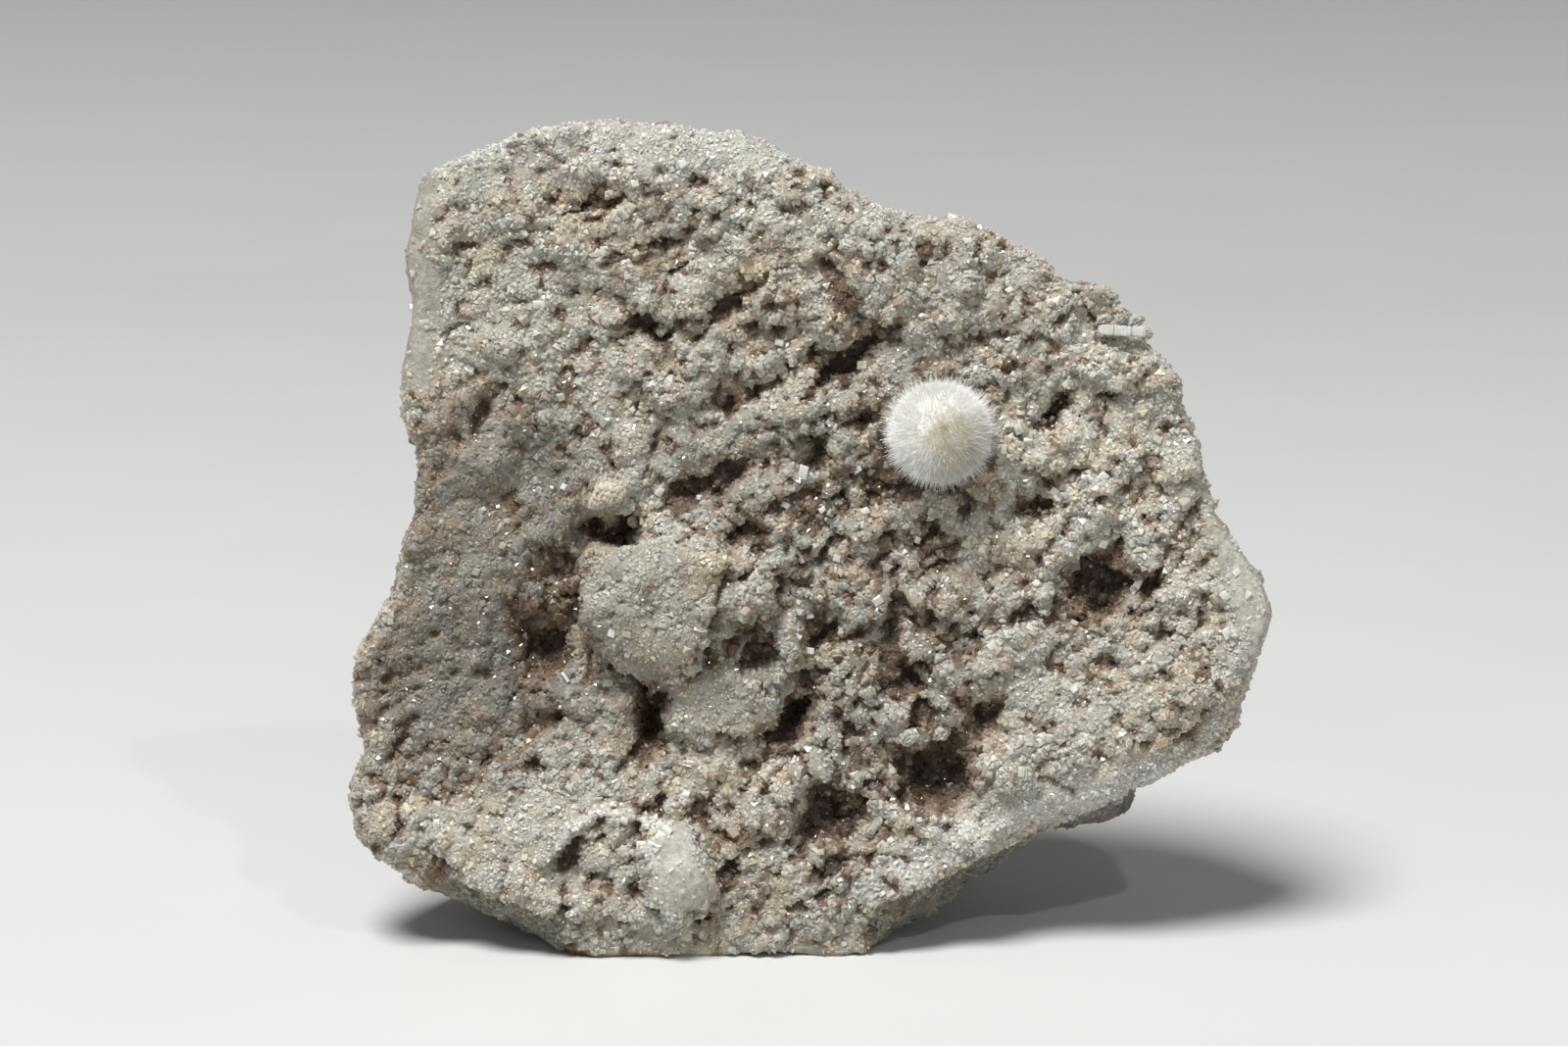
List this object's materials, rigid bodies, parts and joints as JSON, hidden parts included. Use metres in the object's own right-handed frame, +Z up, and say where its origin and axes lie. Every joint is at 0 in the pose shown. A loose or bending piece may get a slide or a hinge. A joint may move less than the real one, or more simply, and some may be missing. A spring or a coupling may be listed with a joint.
{
  "type": "mineral specimen, bavenite ball on crystal-covered matrix",
  "caption": "Upright piece of pale matrix with a crystal-covered face, a white ball of fine needles and a small white prism crystal.",
  "frame": {"origin": "middle of the box, on the surface that the piece stands on", "axes": "+Z up, the crystal-covered face looks towards -Y and leans back 12 degrees, +X to the viewer's right, along the longest side"},
  "size_m": [0.09, 0.0354, 0.079],
  "materials": {
    "matrix": "covered in small glassy grey-white and beige crystals, brown in the pits; bare broken stone on the sides and back",
    "bavenite": "silky white needles radiating from one centre",
    "prism": "glassy, translucent white"
  },
  "bodies": {
    "root": {"matrix": "matrix", "bavenite_ball": "bavenite", "prism_crystal": "prism"}
  },
  "joints": []
}
